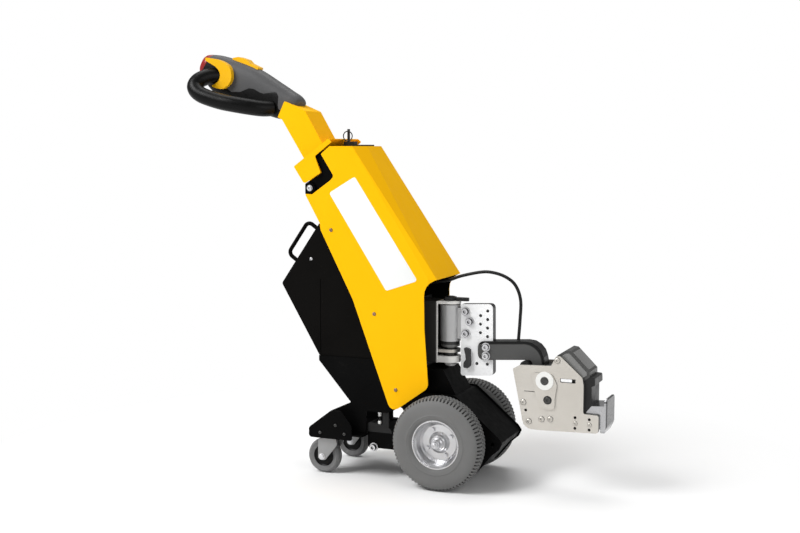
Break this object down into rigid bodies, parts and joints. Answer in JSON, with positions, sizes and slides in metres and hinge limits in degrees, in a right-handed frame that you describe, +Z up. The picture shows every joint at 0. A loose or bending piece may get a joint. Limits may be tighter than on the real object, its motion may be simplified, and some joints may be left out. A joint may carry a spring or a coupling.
{
  "type": "pedestrian battery tow tractor",
  "caption": "Small pedestrian battery tow tractor: sloped cover, driven wheels, swivel castors, folding tiller and a swivelling gooseneck hitch with a coupling box.",
  "frame": {"origin": "on the floor, under the middle of the bounding box", "axes": "+X forward towards the hitch, +Y to the left, +Z up"},
  "size_m": [1.2703, 0.344, 1.2145],
  "materials": {
    "yellow_paint": "satin powder coat",
    "black_paint": "semi-gloss powder coat",
    "battery_case": "fine grained",
    "dark_steel": "satin",
    "drive_casting": "plain",
    "steel": "brushed",
    "zinc": "bright zinc",
    "nickel": "satin nickel",
    "chrome": "polished",
    "grey_tyre": "matte",
    "castor_rubber": "matte",
    "black_plastic": "grained",
    "grey_plastic": "grained",
    "yellow_plastic": "satin",
    "red_plastic": "satin",
    "white_plastic": "satin",
    "cable_rubber": "semi-gloss"
  },
  "bodies": {
    "chassis": {"chassis_plates": "black_paint", "chassis_pan": "black_paint", "drive_unit": "drive_casting", "motor_case": "black_paint", "axle": "steel", "mast": "black_paint", "front_panel": "black_paint", "hitch_bracket": "steel", "king_pin": "steel", "lock_lever": "dark_steel", "body_cover": "yellow_paint", "lower_tub": "black_paint", "battery_pack": "battery_case", "battery_handle": "battery_case", "castor_cradle": "black_paint", "castor_heads": "zinc", "latch_plate": "dark_steel", "pull_pin": "steel", "fold_pin": "steel", "slot_plates": "black_paint", "cable": "cable_rubber"},
    "tiller": {"neck": "yellow_paint", "shoulder": "yellow_paint", "head_base": "black_plastic", "head_cover": "grey_plastic", "thumb_wings": "yellow_plastic", "end_button": "red_plastic", "rocker": "yellow_plastic"},
    "hitch": {"swivel_hub": "steel", "adjuster_plate": "zinc", "hitch_arm": "black_paint", "coupling_plates": "nickel", "coupling_core": "dark_steel", "coupling_cams": "nickel", "coupling_roller": "white_plastic", "coupling_jaw": "nickel", "actuator_cover": "grey_plastic", "coupling_latch": "dark_steel", "swivel_hook": "dark_steel"},
    "wheel_left": {"tyre_left": "grey_tyre", "rim_left": "chrome"},
    "wheel_right": {"tyre_right": "grey_tyre", "rim_right": "chrome"},
    "castor_left": {"fork_left": "zinc"},
    "castor_right": {"fork_right": "zinc"},
    "castor_wheel_left": {"castor_tyre_left": "castor_rubber", "castor_hub_left": "black_plastic"},
    "castor_wheel_right": {"castor_tyre_right": "castor_rubber", "castor_hub_right": "black_plastic"}
  },
  "joints": [
    {"name": "tiller_fold", "type": "hinge", "parent": "chassis", "child": "tiller", "pos_m": [-0.218, 0, 0.822], "axis": [0, -1, 0], "range_deg": [0, 80]},
    {"name": "hitch_swivel", "type": "hinge", "parent": "chassis", "child": "hitch", "pos_m": [0.174, 0, 0.445], "axis": [0, 0, 1], "range_deg": [-35, 35], "deforming": ["cable"]},
    {"name": "drive_wheel_left", "type": "hinge", "parent": "chassis", "child": "wheel_left", "pos_m": [0.192, 0.136, 0.13], "axis": [0, 1, 0], "continuous": true},
    {"name": "castor_swivel_left", "type": "hinge", "parent": "chassis", "child": "castor_left", "pos_m": [-0.148, 0.0955, 0.115], "axis": [0, 0, 1], "continuous": true},
    {"name": "castor_roll_left", "type": "hinge", "parent": "castor_left", "child": "castor_wheel_left", "pos_m": [-0.176, 0.0955, 0.05], "axis": [0, 1, 0], "continuous": true},
    {"name": "drive_wheel_right", "type": "hinge", "parent": "chassis", "child": "wheel_right", "pos_m": [0.192, -0.136, 0.13], "axis": [0, 1, 0], "continuous": true},
    {"name": "castor_swivel_right", "type": "hinge", "parent": "chassis", "child": "castor_right", "pos_m": [-0.148, -0.0955, 0.115], "axis": [0, 0, 1], "continuous": true},
    {"name": "castor_roll_right", "type": "hinge", "parent": "castor_right", "child": "castor_wheel_right", "pos_m": [-0.176, -0.0955, 0.05], "axis": [0, 1, 0], "continuous": true}
  ]
}
